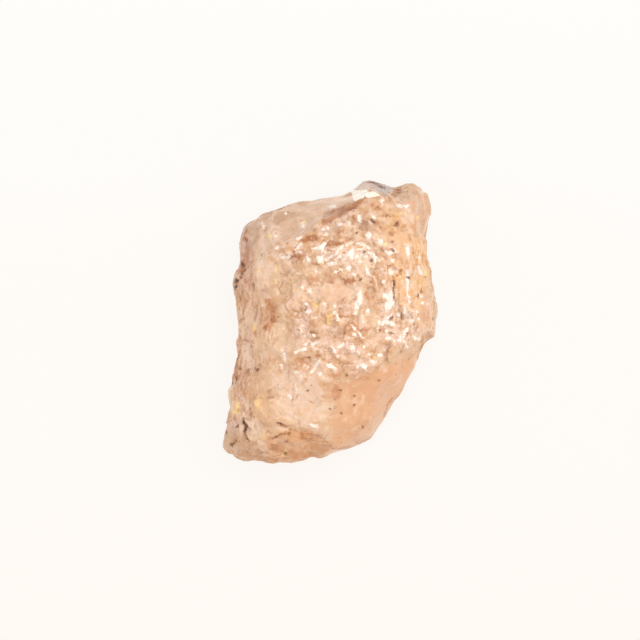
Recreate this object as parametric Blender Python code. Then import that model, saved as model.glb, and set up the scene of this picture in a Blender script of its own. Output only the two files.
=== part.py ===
"""Rough morganite crystal, broken from its rock on every side and lying on its flattest break.

The long way of the stone is +Y and the side that faces up is its best side. Lengths are in
metres. The outline and the corners of the breaks are given in hundredths of LENGTH, so that
one number sizes the whole stone.
"""

import math
import random

import bmesh
import bpy
from mathutils import Vector, kdtree, noise
from mathutils.geometry import delaunay_2d_cdt

# Driving dimensions
LENGTH = 0.0264
UNIT = LENGTH / 100.0
GRAIN = 0.00021
TRIANGLES = 8200
REST_TRIM = 0.00016

# Height of the outline above the rest face, in hundredths of LENGTH
BELT_HEIGHT = 17.0
BELT_WAVE = 3.0

# The outline seen from above, clockwise from the left of the grey bump at the top
OUTLINE = [
    (8.5, 46.5), (11.5, 49.0), (14.5, 49.5), (20.5, 47.0), (23.0, 46.5), (28.0, 48.5),
    (30.5, 48.0), (32.0, 46.5), (34.5, 41.5), (36.0, 37.5), (34.0, 30.5), (38.0, 3.5),
    (37.5, -4.5), (36.5, -7.0), (32.5, -8.0), (30.5, -15.0), (27.0, -21.0), (26.0, -24.0),
    (25.0, -26.0), (22.5, -28.0), (14.5, -41.5), (12.5, -43.5), (9.5, -45.0), (2.0, -46.5),
    (-0.5, -48.0), (-4.0, -48.5), (-6.5, -48.0), (-12.5, -49.5), (-22.0, -50.0),
    (-35.5, -47.5), (-37.5, -45.5), (-38.0, -42.5), (-36.5, -35.0), (-35.5, -26.5),
    (-32.5, -13.0), (-32.5, 2.0), (-34.5, 12.5), (-34.5, 17.0), (-32.5, 20.5),
    (-32.0, 28.5), (-30.0, 32.5), (-27.5, 35.0), (-24.5, 37.0), (-14.0, 41.5),
    (-5.0, 42.0), (-0.5, 43.0), (4.5, 44.0),
]

# Lines along which two breaks of the upper side meet, as x, y and height
UPPER_LINES = {
    "rim of the milky break": [
        (-25.0, 17.0, 33.0), (-22.0, 24.0, 36.0), (-17.5, 27.0, 39.5), (-11.5, 29.0, 42.0),
        (-6.0, 30.5, 43.5), (-2.5, 35.0, 42.0),
    ],
    "foot of the dark wedge": [(-2.5, 35.0, 42.0), (5.5, 36.0, 47.0), (12.5, 43.0, 42.0)],
    "head of the dark wedge": [(-2.5, 35.0, 42.0), (-1.0, 38.5, 35.0), (4.5, 41.0, 37.0),
                               (12.5, 43.0, 42.0)],
    "edge below the grey bump": [(12.5, 43.0, 42.0), (15.5, 44.0, 38.0), (20.0, 43.5, 36.0)],
    "crest from the apex": [(12.5, 43.0, 42.0), (15.0, 35.0, 47.0), (22.0, 28.5, 45.5),
                            (26.5, 18.0, 43.0), (28.5, 6.0, 40.0), (27.0, -3.5, 38.0)],
    "top of the lobe": [(25.0, 40.0, 37.0), (30.5, 42.0, 33.0), (30.5, 34.0, 35.0)],
    "edge above the smooth break": [
        (-13.0, -20.0, 41.0), (-3.0, -20.0, 45.0), (6.0, -17.5, 46.0), (13.0, -14.5, 44.5),
        (21.0, -9.5, 41.0), (27.0, -7.0, 36.0), (30.5, -7.5, 28.0),
    ],
    "rim of the foot": [
        (-24.0, -31.0, 33.0), (-19.0, -35.0, 35.5), (-11.5, -37.5, 35.0), (-4.0, -39.5, 34.0),
        (0.5, -43.5, 29.0), (3.0, -44.5, 25.0),
    ],
    "left shoulder": [
        (-25.0, 17.0, 33.0), (-24.0, 7.0, 35.0), (-22.5, -4.0, 37.0), (-23.0, -14.0, 36.0),
        (-25.0, -24.0, 33.0), (-24.0, -31.0, 33.0),
    ],
    "right flank": [(31.0, 25.0, 35.0), (33.5, 12.0, 31.0), (34.0, -2.0, 28.0)],
    "fall of the smooth break": [(14.5, -24.0, 38.0), (8.0, -34.0, 35.5), (6.0, -41.0, 28.5)],
}

# Single high and low points of the upper side
UPPER_POINTS = [
    (15.5, 46.5, 28.0), (26.5, 45.5, 28.0), (-20.0, 33.0, 30.0), (-9.0, 37.0, 34.0),
    (4.0, 44.0, 26.0), (-29.0, 10.0, 25.0), (-28.5, -6.0, 27.0), (-31.0, -22.0, 24.0),
    (-30.5, -36.0, 27.0), (-31.0, -43.0, 22.0), (-20.0, -43.0, 27.0), (-9.0, -44.0, 26.5),
    (22.5, -20.5, 32.0), (14.0, -35.0, 29.0), (5.0, 24.0, 48.5), (-8.0, 18.0, 45.0),
    (6.0, 11.0, 46.5), (18.0, 12.0, 46.0), (-14.0, 5.0, 43.0), (-4.0, -2.0, 47.5),
    (12.0, -4.0, 47.0), (-13.0, -9.0, 43.5), (33.0, 39.0, 26.0), (27.5, 27.0, 40.5),
]

# Corners of the face the stone lies on, and points of the breaks around it
REST_CORNERS = [
    (7.0, 31.0), (21.0, 27.0), (25.0, 11.0), (23.0, -7.0), (15.0, -23.0), (1.0, -37.0),
    (-15.0, -41.0), (-26.0, -35.0), (-25.0, -14.0), (-21.0, 6.0), (-20.0, 20.0), (-9.0, 29.0),
]
LOWER_POINTS = [
    (31.5, 30.0, 9.0), (27.5, 41.0, 11.0), (16.0, 43.0, 8.0), (-1.0, 39.0, 7.5),
    (-17.0, 34.5, 6.5), (-27.5, 25.0, 8.0), (-29.5, 3.0, 7.0), (-31.0, -24.0, 7.5),
    (-33.5, -41.0, 8.5), (-14.0, -46.5, 6.0), (4.0, -42.5, 7.0), (17.0, -31.0, 6.5),
    (28.0, -13.0, 7.0), (34.0, 3.0, 8.5),
]

# Shell-shaped bites: centre, height of the surface there, width, depth, in hundredths
BITES = [
    (-13.0, 34.5, 36.0, 19.0, 2.2), (9.0, 25.0, 49.5, 17.0, 1.7), (18.5, 31.0, 46.5, 9.0, 1.5),
    (-6.0, 11.0, 46.0, 13.0, 1.6), (13.5, 3.0, 47.5, 14.0, 1.5), (-15.0, -3.0, 43.0, 12.0, 1.6),
    (2.0, -10.5, 47.5, 12.0, 1.3), (23.5, 17.0, 44.5, 10.0, 1.4), (12.0, -27.0, 38.0, 26.0, 2.0),
    (-12.5, -30.0, 39.5, 15.0, 1.2), (-30.0, 21.0, 24.0, 12.0, 1.8), (-30.0, -13.0, 25.0, 15.0, 1.9),
    (-23.0, -38.0, 32.0, 11.0, 1.5), (-6.0, -42.5, 30.0, 12.0, 1.6), (30.0, 12.0, 38.0, 12.0, 1.2),
    (32.5, 36.0, 31.0, 10.0, 1.3), (27.0, 44.0, 31.0, 7.0, 1.0), (6.0, 45.5, 25.0, 8.0, 1.2),
    (30.5, -12.0, 20.0, 9.0, 1.4), (28.5, -20.0, 17.0, 8.0, 1.0), (-33.0, -2.0, 17.0, 9.0, 1.0),
    (33.0, 24.0, 9.0, 15.0, 1.8), (-16.0, 38.0, 9.0, 17.0, 2.0), (-31.0, -28.0, 8.0, 18.0, 2.2),
    (20.0, -28.0, 8.0, 16.0, 2.0), (-29.0, 10.0, 8.0, 16.0, 2.0), (14.0, 44.0, 10.0, 14.0, 1.8),
    (-10.0, -47.0, 9.0, 18.0, 1.8), (33.0, -2.0, 9.0, 15.0, 1.6),
]

# Grooves: the places along each, with its width and depth, in hundredths
GROOVES = [
    ([(-18.5, -35.5), (-15.5, -37.0), (-11.5, -39.0), (-7.0, -39.5)], 2.4, 1.5),
    ([(22.5, 16.5), (22.8, 8.0), (22.0, 2.0)], 1.7, 1.2),
    ([(-30.0, -34.5), (-28.5, -37.5), (-29.5, -42.0)], 2.0, 1.2),
    ([(8.0, 43.5), (14.0, 42.8), (20.0, 43.8), (24.0, 45.5)], 1.9, 1.0),
]

# Rings of the shell-shaped break in the middle of the upper side
RING_CENTRE = (5.5, 10.5)
RING_STEP = 4.6
RING_REACH = 23.0
RING_DEPTH = 1.15

# Ledges along the flank on the right, which run with the length of the crystal
FLANK_STEP = 2.3
FLANK_DEPTH = 0.9

# Small blocks that the rough breaks came away in
BLOCK = 7.5
BLOCK_LEAN = 0.17
BLOCK_LIFT = 0.50


def clear_scene():
    """Remove whatever the startup file holds."""
    for item in list(bpy.data.objects):
        bpy.data.objects.remove(item, do_unlink=True)
    for mesh in list(bpy.data.meshes):
        bpy.data.meshes.remove(mesh)


def ramp(value, low, high):
    """A smooth step from 0 at low to 1 at high."""
    share = min(max((value - low) / (high - low), 0.0), 1.0)
    return share * share * (3.0 - 2.0 * share)


def belt_height(x, y):
    """How high the stone is widest at a point of its outline."""
    return BELT_HEIGHT + BELT_WAVE * math.sin(0.11 * x + 0.07 * y) + 0.03 * y


def one_side(points, lines):
    """Triangles between the outline, the given lines and the given single points."""
    places = [Vector((x, y, belt_height(x, y))) for x, y in OUTLINE]
    edges = [(i, (i + 1) % len(places)) for i in range(len(places))]
    known = {}
    for line in lines:
        for start, end in zip(line, line[1:]):
            for corner in (start, end):
                if corner not in known:
                    known[corner] = len(places)
                    places.append(Vector(corner))
            edges.append((known[start], known[end]))
    places.extend(Vector(point) for point in points)
    flat = [place.xy for place in places]
    _, _, faces, origin, _, _ = delaunay_2d_cdt(
        flat, edges, [list(range(len(OUTLINE)))], 1, 1e-6)
    if any(not found for found in origin):
        raise ValueError("two lines of a break cross")
    return places, [[origin[i][0] for i in face] for face in faces]


def rough_body():
    """The breaks as flat triangles: an upper and a lower side that share the outline."""
    upper, upper_faces = one_side(UPPER_POINTS, list(UPPER_LINES.values()))
    rest = [(x, y, 0.0) for x, y in REST_CORNERS]
    lower, lower_faces = one_side(LOWER_POINTS, [rest + rest[:1]])
    body = bmesh.new()
    top = [body.verts.new(place * UNIT) for place in upper]
    rim = top[:len(OUTLINE)]
    under = rim + [body.verts.new(place * UNIT) for place in lower[len(OUTLINE):]]
    for face in upper_faces:
        body.faces.new([top[i] for i in face])
    for face in lower_faces:
        body.faces.new([under[i] for i in reversed(face)])
    bmesh.ops.recalc_face_normals(body, faces=body.faces)
    mesh = bpy.data.meshes.new("crystal")
    body.to_mesh(mesh)
    body.free()
    crystal = bpy.data.objects.new("crystal", mesh)
    bpy.context.scene.collection.objects.link(crystal)
    return crystal


def bake(thing):
    """Turn the modifiers of an object into its mesh."""
    graph = bpy.context.evaluated_depsgraph_get()
    baked = bpy.data.meshes.new_from_object(thing.evaluated_get(graph))
    old = thing.data
    thing.modifiers.clear()
    thing.data = baked
    bpy.data.meshes.remove(old)
    baked.name = thing.name


def even_mesh(thing):
    """Cover the stone in small even faces that the finer shapes can be pressed into."""
    remesh = thing.modifiers.new("Even faces", 'REMESH')
    remesh.mode = 'VOXEL'
    remesh.voxel_size = GRAIN
    soften = thing.modifiers.new("Worn edges", 'SMOOTH')
    soften.factor = 0.5
    soften.iterations = 4
    bake(thing)


def bite(place, centre, reach):
    """Press a point out of a ball that bit into the stone."""
    away = place - centre
    if away.length >= reach:
        return place
    return centre + away.normalized() * reach


def bite_balls(tree, normals):
    """A centre and a reach for every shell-shaped bite, square to the surface it is in."""
    balls = []
    for x, y, z, width, depth in BITES:
        _, index, _ = tree.find(Vector((x, y, z)) * UNIT)
        reach = (width * width / 4.0 + depth * depth) / (2.0 * depth)
        outward = normals[index]
        surface = tree.find(Vector((x, y, z)) * UNIT)[0]
        balls.append((surface + outward * (reach - depth) * UNIT, reach * UNIT))
    return balls


def roughness(place, normal):
    """How rough the break is at a place: 1 where it sparkles, near 0 on the smooth breaks."""
    x, y, z = place / UNIT
    milky = ramp(y - 0.42 * x, 33.0, 37.0) * ramp(-x, 2.0, -4.0)
    smooth_break = ramp(-y - 0.38 * x, 14.0, 19.0) * ramp(x, -6.0, 0.0)
    under = ramp(-z, -14.0, -8.0)
    side = 0.4 + 0.6 * ramp(abs(normal.z), 0.15, 0.6)
    return side * max(0.0, 1.0 - 0.85 * milky - 0.9 * smooth_break) * (1.0 - 0.35 * under)


def rings(place, normal):
    """Depth of the curved ledges around the middle of the upper side."""
    x, y, _ = place / UNIT
    sway = 2.2 * noise.noise(Vector((x, y, 0.0)) * 0.09) + 0.8 * noise.noise(Vector((x, y, 3.0)) * 0.25)
    away = math.hypot(x - RING_CENTRE[0], y - RING_CENTRE[1]) + sway
    share = (away / RING_STEP) % 1.0
    ledge = ramp(share, 0.0, 0.72) - ramp(share, 0.84, 1.0)
    fade = ramp(-away, -RING_REACH, -RING_REACH + 6.0) * ramp(normal.z, 0.35, 0.75)
    patchy = 0.35 + 0.65 * ramp(noise.noise(Vector((x, y, 9.0)) * 0.11), -0.35, 0.25)
    return RING_DEPTH * ledge * fade * patchy


def flank_ledges(place, normal):
    """Depth of the lengthways ledges on the right flank."""
    x, y, z = place / UNIT
    turn = math.atan2(z - 20.0, x - 15.0) * 18.0 + 1.2 * noise.noise(Vector((x, y * 0.4, z)) * 0.12)
    share = (turn / FLANK_STEP) % 1.0
    ledge = ramp(share, 0.0, 0.8) - ramp(share, 0.86, 1.0)
    inside = ramp(x, 23.5, 27.0) * ramp(y, -7.0, -3.0) * ramp(-y, -32.0, -26.0)
    return FLANK_DEPTH * ledge * inside


def groove_depth(place, normal):
    """Depth of the nearest groove of the upper side at a place."""
    spot = (place / UNIT).xy
    depth = 0.0
    for path, width, deepest in GROOVES:
        for start, end in zip(path, path[1:]):
            start, end = Vector(start), Vector(end)
            along = (spot - start).dot(end - start) / (end - start).length_squared
            foot = start.lerp(end, min(max(along, 0.0), 1.0))
            depth = max(depth, deepest * ramp(-(spot - foot).length, -width, 0.0))
    return depth * ramp(normal.z, 0.1, 0.4)


def block_seeds():
    """Middles and leans of the small blocks, spread through the stone by chance."""
    chance = random.Random(46)
    seeds = []
    counts = [math.ceil(side / BLOCK) for side in (80.0, 104.0, 54.0)]
    for i in range(counts[0]):
        for j in range(counts[1]):
            for k in range(counts[2]):
                middle = Vector((
                    -40.0 + (i + chance.uniform(0.1, 0.9)) * BLOCK,
                    -52.0 + (j + chance.uniform(0.1, 0.9)) * BLOCK,
                    -2.0 + (k + chance.uniform(0.1, 0.9)) * BLOCK,
                ))
                lean = Vector([chance.gauss(0.0, BLOCK_LEAN) for _ in range(3)])
                seeds.append((middle, lean, chance.uniform(-BLOCK_LIFT, BLOCK_LIFT)))
    return seeds


def blocks(place, seeds, tree):
    """Height of the flat-topped blocks of the rough breaks."""
    spot = place / UNIT
    spot = spot + Vector((0.0, 0.0, 0.7)) * noise.noise(spot * 0.5)
    _, index, _ = tree.find(spot)
    middle, lean, lift = seeds[index]
    return lean.dot(spot - middle) + lift


def press_shapes(crystal):
    """Press the bites, the rings, the ledges and the blocks into the even mesh."""
    mesh = crystal.data
    places = [vertex.co.copy() for vertex in mesh.vertices]
    normals = [vertex.normal.copy() for vertex in mesh.vertices]
    near = kdtree.KDTree(len(places))
    for index, place in enumerate(places):
        near.insert(place, index)
    near.balance()
    balls = bite_balls(near, normals)
    seeds = block_seeds()
    seed_tree = kdtree.KDTree(len(seeds))
    for index, (middle, _, _) in enumerate(seeds):
        seed_tree.insert(middle, index)
    seed_tree.balance()
    for vertex, place, normal in zip(mesh.vertices, places, normals):
        above_rest = ramp(place.z, 2.0 * REST_TRIM, 0.0022)
        rough = roughness(place, normal)
        height = rough * blocks(place, seeds, seed_tree)
        height -= rough * rings(place, normal)
        height -= flank_ledges(place, normal)
        height -= groove_depth(place, normal)
        height += 0.5 * noise.noise(place / UNIT * 0.10 + Vector((5.0, 1.0, 8.0)))
        moved = place + normal * (height * UNIT * above_rest)
        for centre, reach in balls:
            moved = bite(moved, centre, reach)
        vertex.co = moved
    mesh.update()
    heal = crystal.modifiers.new("Folds closed", 'REMESH')
    heal.mode = 'VOXEL'
    heal.voxel_size = GRAIN
    soften = crystal.modifiers.new("Rubbed edges", 'SMOOTH')
    soften.factor = 0.5
    soften.iterations = 1
    bake(crystal)


def thin_out(crystal):
    """Leave large triangles on the flat breaks and small ones along edges and ledges."""
    count = sum(len(face.vertices) - 2 for face in crystal.data.polygons)
    fewer = crystal.modifiers.new("Large flat faces", 'DECIMATE')
    fewer.decimate_type = 'COLLAPSE'
    fewer.ratio = TRIANGLES / count
    fewer.use_collapse_triangulate = True
    bake(crystal)


def cut_rest_face(crystal):
    """Cut the lowest break flat and set the stone down on it, centred on its own box."""
    body = bmesh.new()
    body.from_mesh(crystal.data)
    everything = body.verts[:] + body.edges[:] + body.faces[:]
    cut = bmesh.ops.bisect_plane(
        body, geom=everything, dist=1e-8, plane_co=(0.0, 0.0, REST_TRIM),
        plane_no=(0.0, 0.0, -1.0), clear_outer=True)
    border = [item for item in cut["geom_cut"] if isinstance(item, bmesh.types.BMEdge)]
    bmesh.ops.holes_fill(body, edges=border, sides=0)
    lows = [min(vertex.co[axis] for vertex in body.verts) for axis in range(3)]
    highs = [max(vertex.co[axis] for vertex in body.verts) for axis in range(3)]
    shift = Vector((-(lows[0] + highs[0]) / 2.0, -(lows[1] + highs[1]) / 2.0, -lows[2]))
    bmesh.ops.translate(body, vec=shift, verts=body.verts)
    bmesh.ops.triangulate(body, faces=body.faces)
    bmesh.ops.recalc_face_normals(body, faces=body.faces)
    body.to_mesh(crystal.data)
    body.free()


def morganite():
    """Peach-pink beryl: clear under a frosted, broken skin."""
    material = bpy.data.materials.new("morganite")
    material.use_nodes = True
    shader = material.node_tree.nodes["Principled BSDF"]
    shader.inputs["Base Color"].default_value = (0.86, 0.56, 0.40, 1.0)
    shader.inputs["Roughness"].default_value = 0.28
    shader.inputs["IOR"].default_value = 1.58
    shader.inputs["Transmission Weight"].default_value = 0.4
    material.diffuse_color = (0.86, 0.56, 0.40, 1.0)
    return material


def main():
    clear_scene()
    crystal = rough_body()
    even_mesh(crystal)
    press_shapes(crystal)
    thin_out(crystal)
    cut_rest_face(crystal)
    crystal.data.materials.clear()
    crystal.data.materials.append(morganite())


main()
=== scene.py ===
"""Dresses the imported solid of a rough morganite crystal: finer breaks, chips and pits, the stone's
own material, and a pale table with soft light, seen from above."""

import math

import bmesh
import bpy
import numpy as np
from bpy.props import FloatProperty, FloatVectorProperty, IntProperty, PointerProperty
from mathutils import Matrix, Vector, kdtree, noise


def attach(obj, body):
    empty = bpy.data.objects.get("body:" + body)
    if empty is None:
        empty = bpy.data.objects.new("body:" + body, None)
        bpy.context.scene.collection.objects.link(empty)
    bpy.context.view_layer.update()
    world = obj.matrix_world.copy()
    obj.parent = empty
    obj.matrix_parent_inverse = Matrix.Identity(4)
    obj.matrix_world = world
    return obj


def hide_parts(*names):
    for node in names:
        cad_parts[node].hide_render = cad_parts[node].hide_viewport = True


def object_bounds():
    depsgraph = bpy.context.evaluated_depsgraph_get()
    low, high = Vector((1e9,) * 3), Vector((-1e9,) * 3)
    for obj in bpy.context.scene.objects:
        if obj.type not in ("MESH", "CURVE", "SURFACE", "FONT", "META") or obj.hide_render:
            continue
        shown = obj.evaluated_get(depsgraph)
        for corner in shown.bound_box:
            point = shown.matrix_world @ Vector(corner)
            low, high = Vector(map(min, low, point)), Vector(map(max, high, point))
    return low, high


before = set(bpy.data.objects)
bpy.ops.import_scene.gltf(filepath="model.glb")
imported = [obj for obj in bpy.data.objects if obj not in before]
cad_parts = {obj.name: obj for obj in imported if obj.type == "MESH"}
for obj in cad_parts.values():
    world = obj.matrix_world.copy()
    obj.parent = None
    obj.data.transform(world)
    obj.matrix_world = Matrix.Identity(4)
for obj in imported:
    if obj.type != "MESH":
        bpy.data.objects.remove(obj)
CAD_LOW, CAD_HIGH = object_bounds()

bl_info = {
    "name": "Rough morganite crystal",
    "version": (1, 0, 0),
    "blender": (4, 5, 0),
    "location": "3D View > Sidebar > Crystal",
    "description": "Skin, material and studio for a rough morganite crystal",
    "category": "Object",
}

MM = 0.001
NODE = "crystal"

# Places on the upper side are in steps of the picture, 10.907 to a millimetre, y downwards
PIXEL = MM / 10.907
PICTURE_X, PICTURE_Y = 330.0, 322.0
PICTURE_SIZE = 640.0
# Depths inside a mark are cut off at this many steps
DEPTH_LIMIT = 5.0

# Blocks of the broken skin: size, lean of their tops, step between them, and seed
LARGE_BLOCKS = (1.35 * MM, 0.16, 0.05 * MM, 11)
SMALL_BLOCKS = (0.62 * MM, 0.13, 0.028 * MM, 12)
FINE_BLOCKS = (0.34 * MM, 0.2, 0.02 * MM, 13)
# Where the skin is most broken, as the middle and half size of an oval of the picture
SPARKLE_X, SPARKLE_Y, SPARKLE_WIDE, SPARKLE_HIGH = 350.0, 298.0, 95.0, 107.0
# The shell-shaped break: its middle, how it stretches the small blocks, and where its rings end
SHELL_X, SHELL_Y = 345.0, 290.0
SHELL_SQUEEZE, SHELL_RADIUS = 1.5, 4.0 * MM
SHELL_END = (4.6 * MM, 6.6 * MM)
# Ledges of the skin: length, height, and how much their tone varies
RINGS = (0.62 * MM, 0.05 * MM, 0.8)
RIGHT_LEDGES = (0.42 * MM, 0.07 * MM, 0.5)
LEFT_LEDGES = (0.5 * MM, 0.04 * MM, 0.7)
# The axis that the right flank's ledges turn about, and the radius of that flank
FLANK_X, FLANK_Z, FLANK_RADIUS = 3.9 * MM, 5.2 * MM, 4.6 * MM
# How far a bright face may be pressed, and how deep a pit goes
PRESS_LIMIT = 0.07 * MM
PIT_DEPTH = 0.1 * MM
# The rim between the milky face and the broken middle, and the one around the large smooth break
RIDGE_X = [230, 266, 280, 296, 312, 322, 345, 364]
RIDGE_Y = [262, 254, 245, 239, 235, 222, 214, 199]
BREAK_X = [300, 330, 345, 365, 400, 425]
BREAK_Y = [420, 386, 374, 366, 352, 344]
# How far the rims of these breaks wander, in steps of the picture, and how long their waves are
SWAY, SWAY_SIZE = 7.0, 2.5 * MM
# Where the smooth break fades in from the left, and the flanks from their sides, tops and foot
BREAK_LEFT = (318.0, 345.0)
RIGHT_FLANK_SIDE, RIGHT_FLANK_TOP, RIGHT_FLANK_FOOT = (383.0, 396.0), (226.0, 246.0), (332.0, 348.0)
LEFT_FLANK_SIDE, LEFT_FLANK_TOP = (258.0, 272.0), (250.0, 270.0)

# The stone is bedded a hair into the table, so that the two don't share a plane
TABLE_RISE = 0.015 * MM
TABLE_HALF_SIZE = 6.0
# Over this far from the middle, the table's colour goes from near to far
TABLE_FADE = 0.03
# How much of the lamps' light the table gives back, so that shadows on it are faint
TABLE_DULL = 0.08
# The small lamps near the camera, as degrees off the vertical, bearing from +X, and share
LAMPS = [(21.0, 75.0, 1.0), (23.0, 200.0, 0.9), (22.0, 320.0, 0.9)]
LAMP_REACH = 0.50
LAMP_SIZE = 0.075
# The broad lamp beside the stone
SOFTBOX = (50.0, 25.0)
SOFTBOX_REACH = 0.70
SOFTBOX_SIZE = 0.32
# The camera's scale holds at this height, where the stone is widest
BELT = 4.4 * MM
SENSOR_WIDTH = 36.0


def linear(text):
    """A colour from its sRGB hex value."""
    parts = [int(text[i:i + 2], 16) / 255.0 for i in (1, 3, 5)]
    return tuple(c / 12.92 if c <= 0.04045 else ((c + 0.055) / 1.055) ** 2.4 for c in parts) + (1.0,)


def ramp(value, low, high):
    """A smooth step from 0 at low to 1 at high, for arrays."""
    share = np.clip((value - low) / (high - low), 0.0, 1.0)
    return share * share * (3.0 - 2.0 * share)


def fade(value, low, high):
    """A smooth step from 1 at low to 0 at high, for arrays."""
    return 1.0 - ramp(value, low, high)


def picture(points):
    """The picture place of each point of the stone."""
    return np.stack([points[:, 0] / PIXEL + PICTURE_X, PICTURE_Y - points[:, 1] / PIXEL], 1)


def place(x, y):
    """The place on the stone of a place in the picture."""
    return (x - PICTURE_X) * PIXEL, (PICTURE_Y - y) * PIXEL


def noisy(points, size, seed, octaves=1):
    """Smooth noise from about -1 to 1 whose lumps are about as large as size, in metres."""
    shift = Vector((seed * 7.31, seed * 3.17, seed * 5.77))
    if octaves == 1:
        return np.array([noise.noise(Vector(p) + shift) for p in points / size])
    return np.array([noise.fractal(Vector(p) + shift, 0.8, 2.1, octaves) for p in points / size])


def oval_depth(spots, x, y, wide, high, turn=0.0):
    """How deep each spot is inside an oval, below 0 outside; turn is in degrees, towards up."""
    across, along = spots[:, 0] - x, y - spots[:, 1]
    c, s = math.cos(math.radians(turn)), math.sin(math.radians(turn))
    u = (across * c + along * s) / (wide / 2.0)
    v = (along * c - across * s) / (high / 2.0)
    return (1.0 - np.hypot(u, v)) * min(wide, high) / 2.0


def line_depth(spots, path, width):
    """How deep each spot is inside a line of some width, below 0 outside."""
    best = np.full(len(spots), np.inf)
    nodes = [np.array(node, float) for node in path]
    for start, end in zip(nodes, nodes[1:]):
        run = end - start
        share = np.clip((spots - start) @ run / (run @ run), 0.0, 1.0)
        best = np.minimum(best, np.linalg.norm(spots - start - share[:, None] * run, axis=1))
    return width / 2.0 - best


def face_depth(spots, corners):
    """How deep each spot is inside a face with straight edges, below 0 outside."""
    near = -line_depth(spots, list(corners) + [corners[0]], 0.0)
    inside = np.zeros(len(spots), bool)
    for (ax, ay), (bx, by) in zip(corners, list(corners[1:]) + [corners[0]]):
        if ay == by:
            continue
        at = (bx - ax) * (spots[:, 1] - ay) / (by - ay) + ax
        inside ^= ((ay > spots[:, 1]) != (by > spots[:, 1])) & (spots[:, 0] < at)
    return np.where(inside, near, -near)


def depths(spots, marks):
    """How deep each spot is inside the nearest of the marks: ovals, faces and lines."""
    best = np.full(len(spots), -DEPTH_LIMIT)
    for oval in marks.get("ovals", ()):
        best = np.maximum(best, oval_depth(spots, *oval))
    for corners in marks.get("faces", ()):
        best = np.maximum(best, face_depth(spots, corners))
    for path, width in marks.get("lines", ()):
        best = np.maximum(best, line_depth(spots, path, width))
    return np.minimum(best, DEPTH_LIMIT)


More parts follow.
